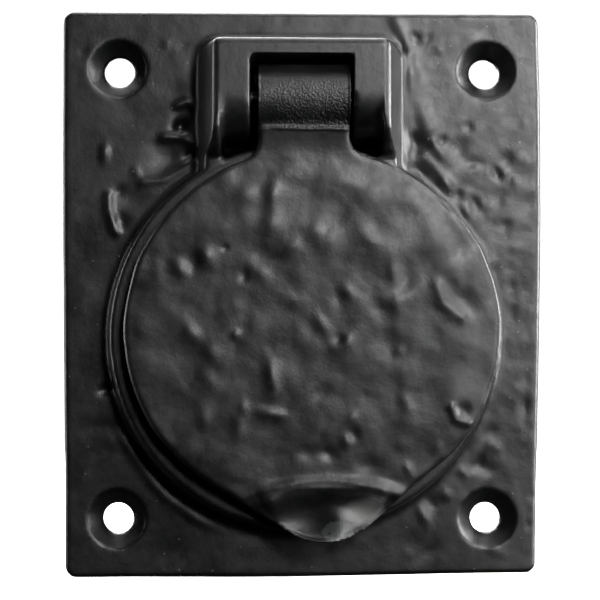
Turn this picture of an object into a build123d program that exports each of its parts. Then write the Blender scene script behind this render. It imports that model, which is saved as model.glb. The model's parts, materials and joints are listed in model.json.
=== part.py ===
"""Cast iron wall plate with a top-hung round flap over a round aperture.

Upright, +Z up. The front faces -Y and the back face lies on y = 0, so depths are
measured from the back face towards -Y. The origin is the centre of the back face.
"""
from build123d import *
import os
from math import asin, degrees, radians, tan

# Plate
plate_width = 90.0
plate_height = 106.0
plate_thickness = 5.0
plate_corner_radius = 2.2
plate_edge_round = 0.9

# Screw holes, countersunk for No. 10 wood screws
screw_inset_x = 10.5
screw_inset_z = 11.0
screw_hole_diameter = 5.5
countersink_diameter = 11.0
countersink_angle = 90.0

# Collar around the aperture
collar_x = 0.2
collar_z = -8.2
collar_foot_radius = 36.5
collar_height = 7.0
collar_draft = 7.5
collar_top_round = 1.2
collar_foot_round = 0.7
aperture_radius = 30.0
aperture_edge_round = 0.6

# Hinge pin
pin_z = 34.9
pin_height = 7.4
pin_radius = 2.0
pin_end_recess = 1.0
pin_end_chamfer = 0.3
pin_running_clearance = 0.05

# Flap
flap_half_width = 34.0
flap_half_height = 32.9
flap_x = 1.5
flap_z = -7.4
flap_thickness = 4.5
flap_edge_round = 0.9
flap_seat_clearance = 0.1
neck_fillet = 3.8

# Knuckle at the top of the flap
knuckle_width = 16.7
knuckle_radius = 7.0
knuckle_flat_height = 5.7
knuckle_gap_left = 1.3
knuckle_gap_right = 0.4

# Thumb tab at the bottom of the flap, with a scoop that leaves a raised lip
tab_shift = 2.1
tab_reach = 5.2
tab_tip_radius = 13.0
tab_lip_rise = 1.9
scoop_rise = 1.4
scoop_depth = 1.3
scoop_sweep_radius = 27.0
scoop_section_radius = 9.0

# Hinge housing: two ears joined by a top wall, with side walls down to the collar
ear_width = 5.3
knuckle_clearance = 0.4
housing_wall = 1.5
housing_top_wall = 3.0
housing_lip_drop = 0.5
housing_draft = 12.0
housing_edge_round = 1.2
housing_corner_round = 4.4
wall_full_drop = 4.5
wall_end_drop = 10.0

# Depths from the back face
ear_radius = knuckle_radius + knuckle_clearance
housing_height = pin_height + ear_radius
collar_front = plate_thickness + collar_height
flap_back = collar_front + flap_seat_clearance
flap_front = flap_back + flap_thickness
lip_front = flap_front + tab_lip_rise
housing_front = plate_thickness + housing_height
pin_depth = plate_thickness + pin_height

# Places and lengths that follow
knuckle_left = -knuckle_width / 2
knuckle_right = knuckle_width / 2
gap_left = knuckle_left - knuckle_gap_left
gap_right = knuckle_right + knuckle_gap_right
housing_x = (gap_left + gap_right) / 2
pocket_half_width = (gap_right - gap_left) / 2 + ear_width
pocket_top = pin_z + ear_radius - housing_lip_drop
collar_top_radius = collar_foot_radius - collar_height * tan(radians(collar_draft))
wall_full_z = pin_z - wall_full_drop
wall_end_z = pin_z - wall_end_drop
draft_spread = housing_height * tan(radians(housing_draft))
housing_half_width = pocket_half_width + housing_wall + draft_spread
housing_top = pocket_top + housing_top_wall + draft_spread
pin_draft_spread = pin_height * tan(radians(housing_draft))
pin_half_length = housing_half_width - pin_draft_spread - pin_end_recess

screw_spacing_x = plate_width - 2 * screw_inset_x
screw_spacing_z = plate_height - 2 * screw_inset_z

tip_x = flap_x + tab_shift
tip_z = flap_z - flap_half_height - tab_reach + tab_tip_radius
scoop_z = flap_z - flap_half_height + scoop_rise
sweep_z = scoop_z - scoop_sweep_radius
scoop_section_depth = flap_front + scoop_section_radius - scoop_depth

# The tab's two straight sides are tangent to the flap's rim and to the tab's tip
flap_centre = Vector(flap_x, flap_z)
tip_centre = Vector(tip_x, tip_z)
lean = tip_centre - flap_centre
tangent_angle = 90 - degrees(asin((flap_half_height - tab_tip_radius) / lean.length))
left_normal = lean.normalized().rotate(Axis.Z, -tangent_angle)
right_normal = lean.normalized().rotate(Axis.Z, tangent_angle)
tab_corners = [
    flap_centre,
    flap_centre + left_normal * flap_half_height,
    tip_centre + left_normal * tab_tip_radius,
    tip_centre + right_normal * tab_tip_radius,
    flap_centre + right_normal * flap_half_height,
]

# Plate casting: hinge housing first, because its pocket stops at the plate's face
with BuildPart() as back_plate:
    with BuildSketch(Plane.XZ.offset(plate_thickness)):
        with Locations((housing_x, housing_top)):
            block_height = housing_top - collar_z
            block = Rectangle(2 * housing_half_width, block_height, align=(Align.CENTER, Align.MAX))
        fillet(block.vertices().group_by(Axis.Y)[-1], housing_corner_round)
    extrude(amount=housing_height, taper=housing_draft)
    housing_face = back_plate.faces().sort_by(Axis.Y)[0]
    fillet(housing_face.edges().sort_by(Axis.Z)[1:], housing_edge_round)

    # Seen from the side, the walls curve down from the ears to the collar
    with BuildSketch(Plane.YZ):
        with BuildLine():
            Polyline(
                (-housing_front, wall_full_z),
                (-housing_front, housing_top),
                (-plate_thickness, housing_top),
                (-plate_thickness, collar_z),
                (-collar_front, collar_z),
                (-collar_front, wall_end_z),
            )
            EllipticalCenterArc(
                (-collar_front, wall_full_z),
                housing_front - collar_front,
                wall_full_z - wall_end_z,
                start_angle=180,
                arc_size=90,
            )
        make_face()
    extrude(amount=plate_width, both=True, mode=Mode.INTERSECT)

    # Pocket between the side walls, under the top wall
    with BuildSketch(Plane.XZ.offset(plate_thickness)):
        with Locations((housing_x, pocket_top)):
            Rectangle(2 * pocket_half_width, pocket_top - collar_z, align=(Align.CENTER, Align.MAX))
    extrude(amount=housing_height, mode=Mode.SUBTRACT)

    # Ears, rounded about the pin at their lower front corner
    with BuildSketch(Plane.YZ.offset(housing_x - pocket_half_width)):
        with Locations((-pin_depth, pin_z)):
            Circle(ear_radius)
        with Locations((-plate_thickness, pocket_top)):
            Rectangle(pin_height, pocket_top - pin_z + ear_radius, align=(Align.MAX, Align.MAX))
            Rectangle(housing_height, pocket_top - pin_z, align=(Align.MAX, Align.MAX))
    extrude(amount=2 * pocket_half_width)
    with BuildSketch(Plane.YZ.offset(gap_left)):
        with Locations((-plate_thickness, pocket_top)):
            Rectangle(housing_height, pocket_top - collar_z, align=(Align.MAX, Align.MAX))
    extrude(amount=gap_right - gap_left, mode=Mode.SUBTRACT)

    # Plate
    with BuildSketch(Plane.XZ):
        RectangleRounded(plate_width, plate_height, plate_corner_radius)
    extrude(amount=plate_thickness)
    plate_front_edges = back_plate.edges().filter_by_position(Axis.Y, -plate_thickness, -plate_thickness)
    outline = plate_front_edges.filter_by(lambda edge: edge.center().length > plate_width / 2 - 1)
    fillet(outline, plate_edge_round)

    # Aperture, cut before the collar so that nothing of the housing is left inside the ring
    with BuildSketch(Plane.XZ):
        with Locations((collar_x, collar_z)):
            Circle(collar_top_radius)
    extrude(amount=housing_front, mode=Mode.SUBTRACT)

    # Collar, a drafted ring that the flap closes on, with its foot let into the plate
    with BuildSketch(Plane.YZ.offset(collar_x)):
        with BuildLine():
            FilletPolyline(
                (0, collar_z + aperture_radius),
                (-collar_front, collar_z + aperture_radius),
                (-collar_front, collar_z + collar_top_radius),
                (-plate_thickness, collar_z + collar_foot_radius),
                (-plate_thickness, collar_z + collar_foot_radius + collar_foot_round),
                radius=[aperture_edge_round, collar_top_round, collar_foot_round],
            )
            Polyline(
                (-plate_thickness, collar_z + collar_foot_radius + collar_foot_round),
                (0, collar_z + collar_foot_radius + collar_foot_round),
                (0, collar_z + aperture_radius),
            )
        make_face()
    revolve(axis=Axis((collar_x, 0, collar_z), (0, 1, 0)))

    # Round relief behind and under the knuckle
    with BuildSketch(Plane.YZ.offset(gap_left)):
        with Locations((-pin_depth, pin_z)):
            Circle(ear_radius)
        with Locations((-plate_thickness, pin_z)):
            Rectangle(plate_thickness, 2 * ear_radius, align=(Align.MIN, Align.CENTER), mode=Mode.SUBTRACT)
    extrude(amount=gap_right - gap_left, mode=Mode.SUBTRACT)

    # Countersunk screw holes
    with Locations(Plane.XZ.offset(plate_thickness)):
        with GridLocations(screw_spacing_x, screw_spacing_z, 2, 2):
            CounterSinkHole(
                radius=screw_hole_diameter / 2,
                counter_sink_radius=countersink_diameter / 2,
                counter_sink_angle=countersink_angle,
                depth=plate_thickness,
            )

    # Pin hole, straight through both walls
    with BuildSketch(Plane.YZ):
        with Locations((-pin_depth, pin_z)):
            Circle(pin_radius)
    extrude(amount=plate_width, both=True, mode=Mode.SUBTRACT)
back_plate.part.label = "back_plate"

# Hinge pin, driven through the ears until both ends are just below the surface
with BuildPart() as hinge_pin:
    with BuildSketch(Plane.YZ.offset(housing_x - pin_half_length)):
        with Locations((-pin_depth, pin_z)):
            Circle(pin_radius)
    extrude(amount=2 * pin_half_length)
    chamfer(hinge_pin.edges().filter_by(GeomType.CIRCLE), pin_end_chamfer)
hinge_pin.part.label = "hinge_pin"

# Flap casting
with BuildPart() as flap:
    # Round lid with its neck and the tab's outline
    with BuildSketch(Plane.XZ.offset(flap_back)) as flap_outline:
        with Locations((flap_x, flap_z)):
            Ellipse(flap_half_width, flap_half_height)
        with Locations((0, pin_z)):
            Rectangle(knuckle_width, pin_z - flap_z, align=(Align.CENTER, Align.MAX))
        neck_roots = flap_outline.vertices().filter_by_position(Axis.Y, flap_z, pin_z, (False, False))
        fillet(neck_roots.filter_by(lambda root: abs(root.X) < knuckle_width), neck_fillet)
        Polygon(*tab_corners, align=None)
        with Locations((tip_x, tip_z)):
            Circle(tab_tip_radius)
    extrude(amount=flap_thickness)
    fillet(flap.faces().sort_by(Axis.Y)[0].edges(), flap_edge_round)

    # Lip: the tab's tip stands proud, on the far side of the scoop's arc
    with BuildSketch(Plane.XZ.offset(flap_back)):
        with Locations((tip_x, tip_z)):
            Circle(tab_tip_radius)
        Polygon(*tab_corners, align=None)
        with Locations((tip_x, sweep_z)):
            Circle(scoop_sweep_radius, mode=Mode.INTERSECT)
    extrude(amount=lip_front - flap_back)

    # Scoop: a round groove swept on an arc across the tab
    with BuildSketch(Plane.YZ.offset(tip_x)):
        with Locations((-scoop_section_depth, scoop_z)):
            Circle(scoop_section_radius)
    revolve(axis=Axis((tip_x, 0, sweep_z), (0, 1, 0)), mode=Mode.SUBTRACT)

    # Knuckle, flat on top and bored for the pin
    with BuildSketch(Plane.YZ.offset(knuckle_left)):
        with Locations((-pin_depth, pin_z)):
            Circle(knuckle_radius)
        with Locations((-pin_depth, pin_z + knuckle_flat_height)):
            Rectangle(2 * knuckle_radius, knuckle_radius, align=(Align.CENTER, Align.MIN), mode=Mode.SUBTRACT)
    extrude(amount=knuckle_width)
    with BuildSketch(Plane.YZ.offset(knuckle_left)):
        with Locations((-pin_depth, pin_z)):
            Circle(pin_radius + pin_running_clearance)
    extrude(amount=knuckle_width, mode=Mode.SUBTRACT)
flap.part.label = "flap"

os.makedirs("parts", exist_ok=True)
for piece in (back_plate, flap, hinge_pin):
    export_step(piece.part, f"parts/{piece.part.label}.step")
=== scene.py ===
"""Black-painted cast iron plate with a top-hung round flap: looks, lights and camera.

The two castings are copies of their CAD nodes, remeshed finely and worked over with
seeded relief: waves, lumps, pits and the marks that a sand mould leaves. Relief is
given in millimetres, in the plate's own frame, and never leaves the CAD box.
"""
import json
import math

import bmesh
import bpy
import numpy as np
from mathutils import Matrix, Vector, noise


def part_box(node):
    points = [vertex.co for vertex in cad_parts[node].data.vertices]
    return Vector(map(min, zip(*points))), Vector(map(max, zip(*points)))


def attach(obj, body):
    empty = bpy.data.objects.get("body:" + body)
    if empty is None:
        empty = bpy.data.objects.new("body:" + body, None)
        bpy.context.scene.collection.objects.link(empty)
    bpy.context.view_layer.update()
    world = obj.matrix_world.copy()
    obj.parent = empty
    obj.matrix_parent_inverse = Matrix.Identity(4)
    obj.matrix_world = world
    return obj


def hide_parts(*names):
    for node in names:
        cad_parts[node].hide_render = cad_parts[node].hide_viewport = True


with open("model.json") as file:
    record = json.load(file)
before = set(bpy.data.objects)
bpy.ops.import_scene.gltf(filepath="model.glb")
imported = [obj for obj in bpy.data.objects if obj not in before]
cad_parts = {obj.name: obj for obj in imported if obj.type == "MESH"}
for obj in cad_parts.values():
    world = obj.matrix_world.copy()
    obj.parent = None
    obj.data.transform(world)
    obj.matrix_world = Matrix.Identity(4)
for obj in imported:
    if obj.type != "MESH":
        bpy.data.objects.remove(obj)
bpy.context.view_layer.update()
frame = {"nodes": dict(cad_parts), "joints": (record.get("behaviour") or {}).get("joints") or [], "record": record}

MM = 0.001
hinge = frame["joints"][0]
aperture = next(mount for mount in frame["record"]["mounts"] if mount["name"] == "aperture")
plate_low, plate_high = (np.array(corner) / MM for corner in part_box("back_plate"))
flap_low, flap_high = (np.array(corner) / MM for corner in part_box("flap"))
PIN_Y, PIN_Z = (value / MM for value in hinge["pos_m"][1:])
COLLAR_X, COLLAR_Z = aperture["pos_m"][0] / MM, aperture["pos_m"][2] / MM
PLATE_FRONT = -5.0
COLLAR_FRONT = -12.0
FLAP_X, FLAP_Z = 1.5, -7.4
TAB_TIP_X, TAB_TIP_Z, TAB_TIP_RADIUS = 3.6, -32.5, 13.0
HOUSING_X = -0.45
HOUSING_HALF_WIDTH = 19.146    # at the plate's front; the sides draw in towards the front
HOUSING_DRAFT = math.radians(12)
PLUG_RADIUS, PLUG_DEPTH, PLUG_SIDES = 2.1, 3.5, 32


# ---------------------------------------------------------------- castings

def remeshed(node, name, voxel, smoothing, filler=None):
    """A closed copy of a CAD node in even quads of about one voxel, lightly smoothed."""
    source = frame["nodes"][node]
    work = bpy.data.objects.new(name + "_work", source.data.copy())
    if filler:
        both = bmesh.new()
        both.from_mesh(work.data)
        both.from_mesh(filler)
        both.to_mesh(work.data)
        both.free()
    bpy.context.scene.collection.objects.link(work)
    remesh = work.modifiers.new("remesh", "REMESH")
    remesh.mode = "VOXEL"
    remesh.voxel_size = voxel * MM
    smooth = work.modifiers.new("smooth", "SMOOTH")
    smooth.factor = 0.5
    smooth.iterations = smoothing
    mesh = bpy.data.meshes.new_from_object(work.evaluated_get(bpy.context.evaluated_depsgraph_get()))
    bpy.data.objects.remove(work)
    mesh.name = name
    mesh.materials.clear()
    piece = bpy.data.objects.new(name, mesh)
    bpy.context.scene.collection.objects.link(piece)
    return piece


def read_mesh(mesh):
    """Vertex places in mm and unit normals, as arrays."""
    places = np.empty(len(mesh.vertices) * 3)
    mesh.vertices.foreach_get("co", places)
    normals = np.empty(len(mesh.vertices) * 3)
    mesh.vertex_normals.foreach_get("vector", normals)
    return places.reshape(-1, 3) / MM, normals.reshape(-1, 3)


def write_mesh(mesh, places):
    mesh.vertices.foreach_set("co", (places * MM).ravel())
    mesh.update()
    mesh.shade_smooth()


def grain(places, scale, seed):
    """Smooth noise in -1..1, about one wave per scale mm."""
    offset = np.array([17.3, 5.1, 9.7]) * seed
    return np.array([noise.noise(point) for point in (places / scale + offset).tolist()])


def fade(values, start, end):
    """0 at start, 1 at end, smooth between."""
    t = np.clip((values - start) / (end - start), 0, 1)
    return t * t * (3 - 2 * t)


def marks(places, features):
    """Sum of round or stretched bumps: (x, z, radius, height, stretch, angle)."""
    total = np.zeros(len(places))
    for x, z, radius, height, stretch, angle in features:
        dx, dz = places[:, 0] - x, places[:, 2] - z
        near = np.hypot(dx, dz) < 3 * radius * stretch
        dx, dz = dx[near], dz[near]
        c, s = math.cos(math.radians(angle)), math.sin(math.radians(angle))
        along, across = (dx * c + dz * s) / (radius * stretch), (dz * c - dx * s) / radius
        total[near] += height * np.exp(-(along ** 2 + across ** 2))
    return total


def ridge(places, path, radius, height):
    """A rounded ridge, or a groove if height is negative, along a path of (x, z) points."""
    nearest = np.full(len(places), 1e9)
    for (x0, z0), (x1, z1) in zip(path, path[1:]):
        dx, dz = x1 - x0, z1 - z0
        t = ((places[:, 0] - x0) * dx + (places[:, 2] - z0) * dz) / (dx * dx + dz * dz)
        t = np.clip(t, 0, 1)
        away = np.hypot(places[:, 0] - x0 - t * dx, places[:, 2] - z0 - t * dz)
        nearest = np.minimum(nearest, away)
    return height * np.exp(-(nearest / radius) ** 2)


def scattered(count, seed, low, high, radius, height, stretch=2.2):
    """Random marks in a rectangle from low to high."""
    random = np.random.default_rng(seed)
    made = []
    for _ in range(count):
        x, z = random.uniform(low[0], high[0]), random.uniform(low[1], high[1])
        made.append((
            x, z, random.uniform(*radius), random.uniform(*height),
            random.uniform(1, stretch), random.uniform(0, 180),
        ))
    return made


# ---------------------------------------------------------------- plate casting

LEFT_MARKS = [
    (-37.0, 26.2, 0.8, 0.38, 1.9, 85), (-31.0, 22.6, 0.6, 0.22, 1.8, 115),
    (-34.3, 19.0, 0.8, -0.30, 1.2, 30), (-32.5, 18.0, 2.3, -0.28, 1.3, 160),
    (-33.8, 13.6, 1.2, -0.35, 1.2, 100), (-24.8, 25.4, 3.0, -0.55, 1.25, 15),
    (-22.8, 31.3, 1.1, -1.10, 1.3, 60), (-20.8, 26.0, 0.8, -0.90, 1.8, 45),
    (-21.5, 33.2, 1.9, -0.40, 1.1, 40), (-36.6, -18.0, 0.9, -0.55, 1.4, 20),
    (-37.5, -25.0, 1.5, -0.25, 2.2, 10), (-35.5, -27.5, 1.3, 0.16, 1.8, 150),
    (-25.5, 46.8, 0.6, 0.12, 1.3, 60), (-41.0, -1.5, 2.2, 0.12, 1.6, 80),
    (-42.0, 8.0, 2.6, -0.14, 1.4, 70), (-40.5, -33.0, 2.0, 0.12, 1.6, 60),
    (-24.0, -48.5, 2.2, -0.14, 2.0, 170), (-8.5, -47.0, 1.8, 0.12, 2.4, 5),
]
LEFT_RIDGES = [
    ([(-36.2, 18.2), (-36.2, 15.6), (-34.8, 11.4)], 0.75, 0.48),
    ([(-26.0, 29.2), (-22.6, 29.4), (-20.2, 27.8)], 0.75, 0.50),
    ([(-30.0, 20.8), (-26.2, 21.2), (-22.6, 23.2), (-20.6, 25.0)], 0.75, 0.32),
    ([(-23.4, 35.2), (-21.6, 36.0), (-20.0, 34.8)], 0.65, 0.40),
]
RIGHT_MARKS = [
    (21.2, 28.4, 1.3, -0.62, 1.6, 130), (22.2, 22.9, 0.7, -0.42, 2.2, 138),
    (24.6, 28.4, 0.7, 0.30, 1.3, 120), (26.0, 26.3, 1.0, 0.34, 1.6, 130),
    (26.2, 28.9, 0.6, -0.28, 1.2, 20), (29.2, 27.6, 2.0, -0.26, 1.2, 100),
    (36.4, 22.8, 0.7, -0.42, 2.0, 120), (38.0, 22.8, 0.8, 0.16, 1.3, 80),
    (31.2, 31.4, 0.6, -0.26, 1.5, 120), (32.6, 23.6, 0.9, 0.20, 1.3, 130),
    (41.8, 32.0, 0.7, 0.14, 1.4, 100), (40.0, 21.2, 0.7, 0.20, 1.3, 100),
    (32.4, 17.0, 0.8, -0.40, 1.9, 120), (30.8, 15.4, 0.7, 0.32, 1.9, 120),
    (29.0, 18.6, 0.8, -0.26, 1.7, 125), (27.0, 20.6, 1.0, 0.22, 1.8, 130),
    (35.5, 16.6, 0.8, 0.16, 1.4, 60), (38.0, 13.0, 0.9, -0.18, 1.3, 10),
    (21.2, 48.2, 0.7, -0.28, 2.0, 145), (18.6, 46.0, 0.45, -0.36, 2.6, 105),
    (25.6, 46.0, 0.6, 0.14, 1.5, 140), (23.6, 48.2, 0.5, -0.18, 1.3, 60),
    (35.4, 5.8, 0.8, 0.24, 1.3, 60), (39.0, 1.5, 0.8, -0.18, 1.5, 80),
    (35.2, -26.0, 1.0, -0.24, 1.5, 40), (32.8, -32.2, 1.0, -0.40, 1.4, 20),
    (35.8, -28.6, 0.9, 0.18, 1.6, 150), (41.8, -21.0, 1.0, -0.24, 1.7, 80),
    (24.0, -39.0, 1.2, -0.34, 1.4, 120), (22.6, -41.6, 0.8, 0.30, 2.4, 120),
    (26.8, -37.6, 0.8, 0.22, 1.6, 120), (30.0, -33.5, 0.7, 0.24, 1.6, 130),
    (20.0, -46.5, 1.6, -0.14, 1.6, 30), (36.0, -48.0, 1.0, 0.12, 2.6, 150),
]
RIGHT_RIDGES = [
    ([(19.9, 45.0), (19.8, 38.0), (19.2, 31.0), (18.6, 26.6), (19.4, 24.6)], 1.3, 0.42),
    ([(17.6, 51.5), (19.3, 48.0)], 1.1, 0.20),
    ([(20.8, 41.0), (21.8, 36.0), (23.6, 31.2)], 1.5, 0.34),
    ([(22.6, 26.0), (25.4, 23.2), (28.0, 19.6)], 0.9, 0.22),
]


def plate_relief(places, normals):
    """How far the plate casting's surface stands off the drawing, in mm along its normal."""
    x, y, z = places.T
    ring = np.hypot(x - COLLAR_X, z - COLLAR_Z)
    around = np.degrees(np.arctan2(z - COLLAR_Z, x - COLLAR_X)) % 360
    facing_front = fade(-normals[:, 1], 0.3, 0.9)
    on_plate = facing_front * fade(y, PLATE_FRONT - 2.5, PLATE_FRONT - 0.8) * fade(ring, 35, 36.5)
    rough = fade(x, 15, 27) * fade(z, -52, -20) * (1 - 0.5 * fade(z, 26, 36))

    waves = 0.16 * grain(places, 17, 1) + 0.07 * grain(places, 8, 2)
    lumps = (0.035 + 0.075 * rough) * grain(places, 3.4, 3) + (0.012 + 0.035 * rough) * grain(places, 1.7, 4)
    relief = (waves + lumps) * (0.35 + 0.65 * on_plate)

    placed = marks(places, LEFT_MARKS) + marks(places, RIGHT_MARKS)
    for path, radius, height in LEFT_RIDGES + RIGHT_RIDGES:
        placed += ridge(places, path, radius, height)
    placed += marks(places, scattered(70, 11, (17, -50), (44, 34), (0.6, 1.3), (-0.26, 0.16)))
    placed += marks(places, scattered(50, 12, (-44, -52), (42, 52), (0.8, 2.0), (-0.14, 0.12)))
    relief += placed * on_plate

    # A broken ridge outside the collar at the lower left, and a bead along the collar's rim
    lower_left = fade(around, 203, 214) * (1 - fade(around, 240, 250))
    broken = 0.7 + 0.6 * grain(places, 4.0, 5)
    off_ridge = (ring - 38.5 - 0.7 * fade(around, 212, 232)) / 0.75
    relief += facing_front * 0.42 * np.exp(-off_ridge ** 2) * lower_left * broken
    on_rim = fade(-y, -COLLAR_FRONT - 1.2, -COLLAR_FRONT - 0.2)
    relief += on_rim * 0.28 * np.exp(-((ring - 35.15) / 0.42) ** 2)
    return relief


def make_plate():
    piece = remeshed("back_plate", "plate_casting", 0.55, 2, pin_plugs())
    mesh = piece.data
    places, normals = read_mesh(mesh)
    back = fade(normals[:, 1], 0.3, 0.9)
    relief = plate_relief(places, normals) * (1 - 0.75 * back) - 0.12
    moved = places + normals * relief[:, None]

    # The rim of the real casting isn't square: it draws in towards the bottom
    x, _, z = moved.T
    outer = fade(np.abs(x), 40.3, 44.6)
    drawn_in = np.where(x > 0, 1.3 * fade(-z, -20, 62) + 0.35 * fade(z, 30, 53), 0.8 * fade(-z, -30, 60))
    moved[:, 0] -= np.sign(x) * drawn_in * outer
    moved[:, 2] += 0.7 * fade(-z, 49, 53) * fade(x, -10, 50)
    write_mesh(mesh, np.clip(moved, plate_low, plate_high))
    return piece


def pin_plugs():
    """Paint fills the pin hole's ends flush with the housing's sloping sides."""
    half_width, slope = HOUSING_HALF_WIDTH - 0.05, math.tan(HOUSING_DRAFT)
    count = PLUG_SIDES
    turns = [2 * math.pi * k / count for k in range(count)]
    rim = [(PIN_Y + PLUG_RADIUS * math.cos(a), PIN_Z + PLUG_RADIUS * math.sin(a)) for a in turns]
    verts, faces = [], []
    for side in (-1, 1):
        first = len(verts)
        verts += [(HOUSING_X + side * (half_width - PLUG_DEPTH), y, z) for y, z in rim]
        verts += [(HOUSING_X + side * (half_width - (PLATE_FRONT - y) * slope), y, z) for y, z in rim]
        faces.append([first + k for k in range(count)])
        faces.append([first + 2 * count - 1 - k for k in range(count)])
        for k in range(count):
            after = (k + 1) % count
            faces.append([first + k, first + after, first + count + after, first + count + k])
    mesh = bpy.data.meshes.new("pin_plugs")
    mesh.from_pydata([(x * MM, y * MM, z * MM) for x, y, z in verts], [], faces)
    return mesh


# ---------------------------------------------------------------- flap casting

FLAP_MARKS = [
    (-5.6, 16.4, 1.0, 0.34, 3.0, 88), (-10.4, 17.0, 1.3, 0.26, 1.2, 100),
    (-6.2, 11.2, 1.3, 0.24, 1.4, 70), (2.0, 10.6, 1.2, 0.24, 1.5, 60),
    (5.0, 9.2, 1.1, 0.20, 1.5, 80), (-2.0, 7.6, 1.1, 0.20, 1.6, 40),
    (6.3, 14.4, 1.7, -0.22, 1.4, 40), (13.2, 11.6, 1.6, -0.26, 1.4, 140),
    (11.6, 9.0, 1.0, 0.20, 1.7, 140), (17.0, 14.5, 1.8, -0.18, 1.5, 120),
    (-22.3, 3.6, 1.0, 0.34, 1.9, 125), (-17.6, 5.6, 1.1, 0.30, 1.3, 110),
    (-19.6, 4.8, 1.1, -0.24, 1.3, 60), (-14.2, 7.3, 0.45, -0.24, 1.2, 0),
    (-10.8, 2.3, 0.6, -0.26, 1.5, 80), (-8.2, 2.8, 1.0, 0.24, 2.2, 140),
    (-20.3, -8.0, 1.0, 0.32, 1.9, 120), (-16.4, -12.0, 1.1, 0.26, 2.0, 130),
    (-17.2, -16.6, 1.2, 0.22, 1.8, 130), (-5.8, -16.0, 0.85, 0.36, 3.2, 98),
    (-5.8, -22.5, 0.85, 0.34, 3.0, 172), (-18.0, -23.4, 0.9, 0.28, 1.9, 85),
    (-10.9, -21.4, 0.8, 0.22, 1.5, 85), (-11.8, -25.0, 0.9, 0.20, 2.2, 85),
    (7.8, -9.4, 1.1, 0.34, 1.3, 60), (6.2, -9.2, 0.8, -0.26, 1.2, 60),
    (3.2, -6.6, 0.9, 0.26, 2.4, 125), (6.4, -1.8, 1.2, -0.24, 1.4, 90),
    (7.6, -0.4, 0.9, 0.20, 1.4, 120), (16.2, 2.6, 1.0, 0.22, 2.4, 95),
    (18.4, 2.2, 1.2, -0.24, 1.6, 80), (13.6, -3.6, 1.3, -0.24, 1.6, 130),
    (16.6, -3.0, 1.0, 0.20, 2.0, 100), (28.6, -2.0, 1.7, -0.46, 1.6, 135),
    (28.8, -21.8, 0.9, -0.36, 1.2, 100), (17.0, -11.2, 0.7, 0.16, 1.3, 60),
    (18.4, -20.6, 0.9, 0.20, 2.2, 110), (17.6, -15.5, 1.0, 0.14, 1.8, 100),
    (8.9, -26.2, 0.8, -0.36, 1.2, 100), (7.6, -27.4, 0.7, 0.26, 1.5, 70),
    (4.4, -29.6, 0.8, -0.34, 1.4, 170), (0.4, -29.4, 0.9, -0.22, 1.6, 170),
    (3.2, -18.8, 1.1, -0.22, 1.7, 20), (8.6, -23.2, 0.7, 0.18, 1.4, 60),
    (18.7, -32.4, 0.6, 0.22, 1.8, 110), (12.0, -31.6, 1.0, -0.24, 2.0, 165),
    (-13.5, -33.0, 1.8, 0.14, 1.7, 150), (24.0, -28.6, 0.8, 0.18, 1.4, 60),
    (-26.0, -4.0, 2.2, -0.12, 1.6, 90), (22.0, 4.5, 1.6, -0.16, 1.4, 60),
    (-1.5, -2.2, 1.2, 0.18, 1.8, 150), (-12.3, -8.3, 0.5, 0.20, 1.3, 60),
]
FLAP_RIDGES = [
    ([(24.0, 0.6), (25.2, -2.6), (28.4, -5.0)], 1.2, 0.32),
    ([(26.6, -21.4), (27.4, -23.4), (29.6, -24.2)], 0.8, 0.32),
]
NIB_MARKS = [
    (6.4, -42.4, 2.4, 0.45, 1.0, 0), (9.2, -42.0, 2.2, 0.30, 1.1, 20),
    (5.8, -40.2, 2.2, 0.60, 1.3, 10), (0.6, -43.4, 3.0, -0.70, 1.5, 150),
    (-5.0, -39.4, 2.8, 0.25, 1.5, 150), (12.2, -39.2, 2.4, 0.75, 1.4, 25),
]
SCOOP_SHOULDER = [(-8.0, -38.6), (-4.5, -36.2), (-1.5, -35.0), (5.0, -34.7), (13.0, -35.2), (18.6, -37.4)]
SCOOP_UPPER_WALL = [(-5.5, -38.2), (-2.0, -36.9), (3.6, -36.3), (9.0, -36.7), (13.5, -37.8)]


def sandiness(places):
    """1 where the knuckle's front is rough, 0 where the flap is smooth."""
    x, _, z = places.T
    return fade(z, 28, 30) * (1 - fade(z, 35.5, 38.5)) * (0.4 + 0.6 * fade(x, -7, -2))


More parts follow.
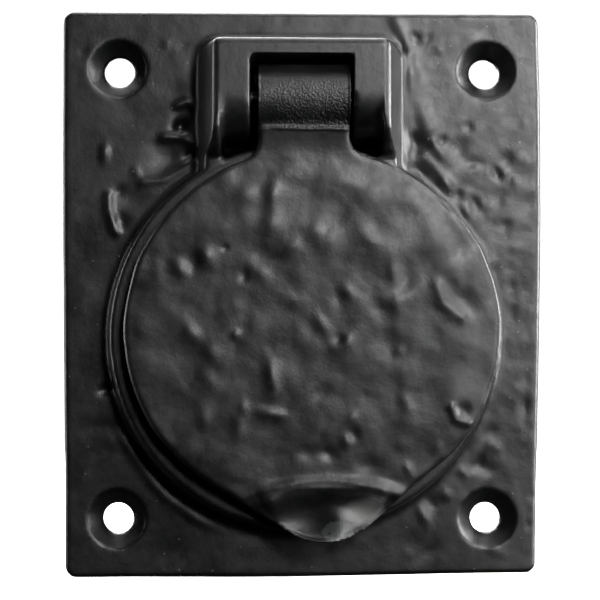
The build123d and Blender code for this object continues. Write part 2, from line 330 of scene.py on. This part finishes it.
def flap_relief(places, normals):
    """How far the flap casting's surface stands off the drawing, in mm along its normal."""
    x, _, z = places.T
    facing_front = fade(-normals[:, 1], 0.3, 0.9)
    lid = 1 - fade(z, 22, 27)
    tab = fade(-z, 33.5, 35.5) * fade(20 - np.abs(x - 4), 0, 4)

    lumps = 0.20 * grain(places, 6.5, 22) + 0.10 * grain(places, 3.4, 23) + 0.018 * grain(places, 1.5, 24)
    relief = 0.12 * grain(places, 15, 21) + lid * (1 - tab) * lumps
    towards_rim = fade(np.hypot(x - FLAP_X, z - FLAP_Z), 27, 34)
    relief -= 0.45 * towards_rim * fade(x + 0.5 * z, -10, 25) * facing_front
    wider = [(x0, z0, 1.3 * r, 0.9 * h, 1 + 0.7 * (k - 1), a) for x0, z0, r, h, k, a in FLAP_MARKS]
    placed = marks(places, wider)
    placed += marks(places, scattered(60, 25, (-30, -32), (33, 20), (1.0, 2.0), (-0.16, 0.14)))
    for path, radius, height in FLAP_RIDGES:
        placed += ridge(places, path, radius, height)
    relief += facing_front * lid * (1 - tab) * placed

    # Sand marks on the knuckle's front, and the parting line below them
    relief += sandiness(places) * (0.03 * grain(places, 1.1, 26) + 0.04 * grain(places, 2.2, 27) - 0.03)
    relief += facing_front * 0.9 * np.clip((z - 22) / 7, 0, 1) ** 2 * (1 - fade(z, 28.9, 30.2))
    off_line = (z - 29.0 + 0.03 * x - 0.15 * grain(places, 2.0, 28)) / 0.25
    along_line = fade(x, -6.5, -4) * (1 - fade(x, 7, 8.4))
    relief += facing_front * 0.2 * np.exp(-off_line ** 2) * along_line

    # The tab: a soft shoulder above the scoop, the nib on the tip, and a scoop wall less steep than drawn
    relief += facing_front * ridge(places, SCOOP_SHOULDER, 1.1, 0.34)
    inside = fade(TAB_TIP_RADIUS - np.hypot(x - TAB_TIP_X, z - TAB_TIP_Z), 0.1, 1.2)
    relief += tab * inside * facing_front * marks(places, NIB_MARKS)
    relief += tab * facing_front * ridge(places, SCOOP_UPPER_WALL, 2.1, 1.05)
    relief += tab * 0.05 * grain(places, 4.0, 29)
    return relief


def make_flap():
    piece = remeshed("flap", "flap_casting", 0.33, 3)
    mesh = piece.data
    places, normals = read_mesh(mesh)
    back = fade(normals[:, 1], 0.3, 0.9)
    moved = places + normals * (flap_relief(places, normals) * (1 - 0.8 * back))[:, None]
    write_mesh(mesh, np.clip(moved, flap_low, flap_high))
    mesh.attributes.new("sandiness", "FLOAT", "POINT").data.foreach_set("value", sandiness(places))
    return piece


# ---------------------------------------------------------------- materials

def new_material(name):
    material = bpy.data.materials.new(name)
    material.use_nodes = True
    material.node_tree.nodes.clear()
    return material


def add_node(material, kind, **settings):
    node = material.node_tree.nodes.new(kind)
    for key, value in settings.items():
        setattr(node, key, value)
    return node


def noise_field(material, coordinates, size_mm, detail=2.0, low=0.35, high=0.65):
    """Noise whose features are about size_mm across, stretched so that low..high fills 0..1."""
    link = material.node_tree.links.new
    texture = add_node(material, "ShaderNodeTexNoise")
    texture.inputs["Scale"].default_value = 1 / (size_mm * MM)
    texture.inputs["Detail"].default_value = detail
    link(coordinates, texture.inputs["Vector"])
    stretch = add_node(material, "ShaderNodeMapRange")
    stretch.inputs["From Min"].default_value = low
    stretch.inputs["From Max"].default_value = high
    link(texture.outputs["Fac"], stretch.inputs["Value"])
    return stretch.outputs["Result"]


def spread(material, value, low, high):
    """value, 0..1, turned into low..high."""
    stretch = add_node(material, "ShaderNodeMapRange")
    stretch.inputs["To Min"].default_value = low
    stretch.inputs["To Max"].default_value = high
    material.node_tree.links.new(value, stretch.inputs["Value"])
    return stretch.outputs["Result"]


def mix_colour(material, factor, first, second):
    """A colour between two; each is a plain triple or a socket."""
    link = material.node_tree.links.new
    mix = add_node(material, "ShaderNodeMix", data_type="RGBA")
    link(factor, mix.inputs["Factor"])
    for colour, socket in ((first, mix.inputs["A"]), (second, mix.inputs["B"])):
        if isinstance(colour, tuple):
            socket.default_value = (*colour, 1)
        else:
            link(colour, socket)
    return mix.outputs["Result"]


def add_bumps(material, heights):
    """Bump nodes chained from (height socket, depth in mm) pairs."""
    link = material.node_tree.links.new
    normal = None
    for height, depth in heights:
        bump = add_node(material, "ShaderNodeBump")
        bump.inputs["Distance"].default_value = depth * MM
        link(height, bump.inputs["Height"])
        if normal:
            link(normal, bump.inputs["Normal"])
        normal = bump.outputs["Normal"]
    return normal


def away_from(material, place, centre, radii):
    """Distance from an (x, z) point on the front, as a share of the x and z radii, all in mm."""
    (x, z), (radius_x, radius_z) = centre, radii
    middle = add_node(material, "ShaderNodeVectorMath", operation="MULTIPLY_ADD")
    middle.inputs[1].default_value = (1 / (radius_x * MM), 0, 1 / (radius_z * MM))
    middle.inputs[2].default_value = (-x / radius_x, 0, -z / radius_z)
    material.node_tree.links.new(place, middle.inputs[0])
    away = add_node(material, "ShaderNodeVectorMath", operation="LENGTH")
    material.node_tree.links.new(middle.outputs["Vector"], away.inputs[0])
    return away.outputs["Value"]


def satin_black(name, chip=None, rub_and_highlight=None, sand=None):
    """Black satin paint brushed over a sand casting, with dust specks.

    chip is an (x, z) in mm, and so is the middle of the tab's painted highlight: greyer paint that stands in for
    the glint of light on the lip, given the look of paint rubbed thin by thumbs.
    sand names the mesh attribute that says how sandy the surface is.
    """
    material = new_material(name)
    link = material.node_tree.links.new
    output = add_node(material, "ShaderNodeOutputMaterial")
    shader = add_node(material, "ShaderNodeBsdfPrincipled")
    link(shader.outputs["BSDF"], output.inputs["Surface"])
    place = add_node(material, "ShaderNodeTexCoord").outputs["Object"]

    patches = noise_field(material, place, 9, 3)
    mottle = noise_field(material, place, 1.6, 4)
    colour = mix_colour(material, patches, (0.0012, 0.0014, 0.0014), (0.0034, 0.0037, 0.0036))

    # Specks: the middles of a few cells
    cells = add_node(material, "ShaderNodeTexVoronoi")
    cells.inputs["Scale"].default_value = 1 / (2.2 * MM)
    link(place, cells.inputs["Vector"])
    small = add_node(material, "ShaderNodeMath", operation="LESS_THAN")
    small.inputs[1].default_value = 0.07
    link(cells.outputs["Distance"], small.inputs[0])
    few = add_node(material, "ShaderNodeMath", operation="GREATER_THAN")
    few.inputs[1].default_value = 0.66
    link(cells.outputs["Color"], few.inputs[0])
    speck = add_node(material, "ShaderNodeMath", operation="MULTIPLY")
    link(small.outputs[0], speck.inputs[0])
    link(few.outputs[0], speck.inputs[1])
    colour = mix_colour(material, speck.outputs[0], colour, (0.07, 0.073, 0.073))

    rough = add_node(material, "ShaderNodeMath", operation="ADD")
    link(spread(material, patches, 0.37, 0.43), rough.inputs[0])
    link(spread(material, mottle, -0.03, 0.03), rough.inputs[1])
    roughness = rough.outputs[0]

    if rub_and_highlight:
        # Painted highlight on the tab's lip: greyer paint in place of the glint of light there, also shown as
        # paint thinned where thumbs rub
        painted_highlight_share = add_node(material, "ShaderNodeMapRange", interpolation_type="SMOOTHSTEP")
        painted_highlight_share.inputs["From Min"].default_value = 1.0
        painted_highlight_share.inputs["From Max"].default_value = 0.2
        link(away_from(material, place, rub_and_highlight, (4.6, 3.0)), painted_highlight_share.inputs["Value"])
        colour = mix_colour(material, painted_highlight_share.outputs["Result"], colour, (0.13, 0.13, 0.127))

    if chip:
        # Worn patch with a dark outline, where the topcoat has come away
        ragged = add_node(material, "ShaderNodeMath", operation="ADD")
        link(away_from(material, place, chip, (2.4, 2.1)), ragged.inputs[0])
        link(spread(material, noise_field(material, place, 2.6, 3), -0.45, 0.45), ragged.inputs[1])
        inside = add_node(material, "ShaderNodeMath", operation="LESS_THAN")
        inside.inputs[1].default_value = 1.0
        link(ragged.outputs[0], inside.inputs[0])
        outline = add_node(material, "ShaderNodeMath", operation="COMPARE")
        outline.inputs[1].default_value = 1.0
        outline.inputs[2].default_value = 0.07
        link(ragged.outputs[0], outline.inputs[0])
        colour = mix_colour(material, inside.outputs[0], colour, (0.018, 0.019, 0.019))
        colour = mix_colour(material, outline.outputs[0], colour, (0.001, 0.001, 0.001))

    link(colour, shader.inputs["Base Color"])
    link(roughness, shader.inputs["Roughness"])
    heights = [(mottle, 0.012), (noise_field(material, place, 0.45, 2), 0.005)]
    if sand:
        grains = add_node(material, "ShaderNodeMath", operation="MULTIPLY")
        link(noise_field(material, place, 0.42, 4, 0.4, 0.7), grains.inputs[0])
        link(add_node(material, "ShaderNodeAttribute", attribute_name=sand).outputs["Fac"], grains.inputs[1])
        heights.append((grains.outputs[0], 0.075))
    link(add_bumps(material, heights), shader.inputs["Normal"])
    return material


def rod_steel(name):
    """Drawn steel rod, dark with oil and overspray."""
    material = new_material(name)
    link = material.node_tree.links.new
    output = add_node(material, "ShaderNodeOutputMaterial")
    shader = add_node(material, "ShaderNodeBsdfPrincipled")
    shader.inputs["Metallic"].default_value = 1.0
    link(shader.outputs["BSDF"], output.inputs["Surface"])
    place = add_node(material, "ShaderNodeTexCoord").outputs["Object"]
    grime = noise_field(material, place, 1.5, 3)
    link(mix_colour(material, grime, (0.10, 0.10, 0.10), (0.02, 0.019, 0.018)), shader.inputs["Base Color"])
    link(spread(material, grime, 0.32, 0.6), shader.inputs["Roughness"])
    link(add_bumps(material, [(noise_field(material, place, 0.3, 2), 0.01)]), shader.inputs["Normal"])
    return material


plate_paint = satin_black("painted_casting")
# The flap's paint carries a painted highlight: greyer paint on the tab's lip, standing in for a glint of light
flap_paint = satin_black("painted_flap", chip=(6.4, -43.5), rub_and_highlight=(10.8, -40.2), sand="sandiness")
pin_node = frame["nodes"]["hinge_pin"]
pin_node.data.materials.clear()
pin_node.data.materials.append(rod_steel("pin_steel"))

plate = make_plate()
plate.data.materials.append(plate_paint)
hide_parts("back_plate")
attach(plate, "plate")

flap = make_flap()
flap.data.materials.append(flap_paint)
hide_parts("flap")
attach(flap, "flap")


# ---------------------------------------------------------------- stage, lights, camera

def pale_sheet(name, glow):
    """Matt white with its own glow. A glow near 1 shows as plain white at any distance from the lamps."""
    material = new_material(name)
    output = add_node(material, "ShaderNodeOutputMaterial")
    shader = add_node(material, "ShaderNodeBsdfPrincipled")
    shader.inputs["Base Color"].default_value = (0.8, 0.8, 0.8, 1)
    shader.inputs["Roughness"].default_value = 0.9
    shader.inputs["Specular IOR Level"].default_value = 0.0
    shader.inputs["Emission Color"].default_value = (1, 1, 1, 1)
    shader.inputs["Emission Strength"].default_value = glow
    material.node_tree.links.new(shader.outputs["BSDF"], output.inputs["Surface"])
    return material


def stage_sheet(name, verts, faces, material):
    """Part of the studio. It neither lights nor shades the object, and the paint does not reflect it."""
    mesh = bpy.data.meshes.new(name)
    mesh.from_pydata(verts, [], faces)
    mesh.materials.append(material)
    mesh.shade_smooth()
    sheet = bpy.data.objects.new(name, mesh)
    sheet.visible_glossy = False
    sheet.visible_diffuse = False
    sheet.visible_shadow = False
    bpy.context.scene.collection.objects.link(sheet)


FLOOR_Z = (plate_low[2] - 0.3) * MM
ROOM_RADIUS, ROOM_HEIGHT, ROOM_SIDES = 2.0, 3.0, 96


def circle_at(z):
    """The room's outline at one height, in metres."""
    turns = [2 * math.pi * k / ROOM_SIDES for k in range(ROOM_SIDES)]
    return [(ROOM_RADIUS * math.cos(a), ROOM_RADIUS * math.sin(a), z) for a in turns]


stage_sheet("floor", circle_at(FLOOR_Z), [tuple(range(ROOM_SIDES))], pale_sheet("pale_floor", 0.97))
wall_faces = []
for k in range(ROOM_SIDES):
    after = (k + 1) % ROOM_SIDES
    wall_faces.append((k, after, ROOM_SIDES + after, ROOM_SIDES + k))
stage_sheet("wall", circle_at(FLOOR_Z) + circle_at(ROOM_HEIGHT), wall_faces, pale_sheet("pale_wall", 1.0))


def area_light(name, place, target, size, power):
    """A rectangular lamp at place that faces target, both in metres. Power is in watts."""
    data = bpy.data.lights.new(name, "AREA")
    data.shape = "RECTANGLE"
    data.size, data.size_y = size
    data.energy = power
    lamp = bpy.data.objects.new(name, data)
    lamp.location = place
    lamp.rotation_mode = "QUATERNION"
    lamp.rotation_quaternion = (Vector(target) - Vector(place)).to_track_quat("-Z", "Y")
    bpy.context.scene.collection.objects.link(lamp)


area_light("key", (0.206, -0.713, 0.239), (0, 0, 0), (0.14, 0.14), 2.5)
area_light("key_near", (0.15, -0.28, 0.19), (0.02, 0, 0.02), (0.08, 0.08), 0.5)
area_light("low_right", (0.22, -0.35, -0.01), (0, 0, 0), (0.1, 0.08), 0.3)
area_light("right_side", (0.52, -0.22, 0.07), (0, 0, 0), (0.15, 0.3), 3.8)
area_light("right_rim", (0.6, 0.03, 0.12), (0, -0.01, 0), (0.2, 0.3), 7.0)
area_light("floor_wash", (0, 0.3, 0.8), (0, 0.2, 0), (0.6, 0.3), 6)

area_light("top_rim", (0.05, -0.16, 0.6), (0, 0, 0), (0.5, 0.1), 1.2)
area_light("countersink_glint", (0.55, -0.1, 0.33), (0, 0, 0), (0.1, 0.1), 2.2)
area_light("tab_glint", (0.22, -0.26, 0.45), (0, 0, 0), (0.1, 0.1), 1.1)

# These two stand behind the plate's front. They show the back and the left sides in other views
area_light("back_fill", (-0.25, 0.7, 0.4), (0, 0, 0), (0.7, 0.7), 14)
area_light("left_fill", (-0.6, 0.1, 0.1), (0, 0, 0), (0.3, 0.4), 2.5)

world = bpy.data.worlds.new("studio")
world.use_nodes = True
world.node_tree.nodes["Background"].inputs["Strength"].default_value = 0.002
bpy.context.scene.world = world
bpy.context.scene.view_settings.view_transform = "Standard"

FRAME_PIXELS, PIXELS_PER_MM, CAMERA_DISTANCE = 600, 5.36, 300
camera_data = bpy.data.cameras.new("camera")
camera_data.sensor_width = 36
camera_data.lens = camera_data.sensor_width * PIXELS_PER_MM * CAMERA_DISTANCE / FRAME_PIXELS
camera_data.shift_y = 0.12
camera = bpy.data.objects.new("camera", camera_data)
camera.location = (-7.8 * MM, (PLATE_FRONT - CAMERA_DISTANCE) * MM, -21.8 * MM)
camera.rotation_euler = (math.radians(90 + 1.36), 0, math.radians(-1.4))
bpy.context.scene.collection.objects.link(camera)
bpy.context.scene.camera = camera
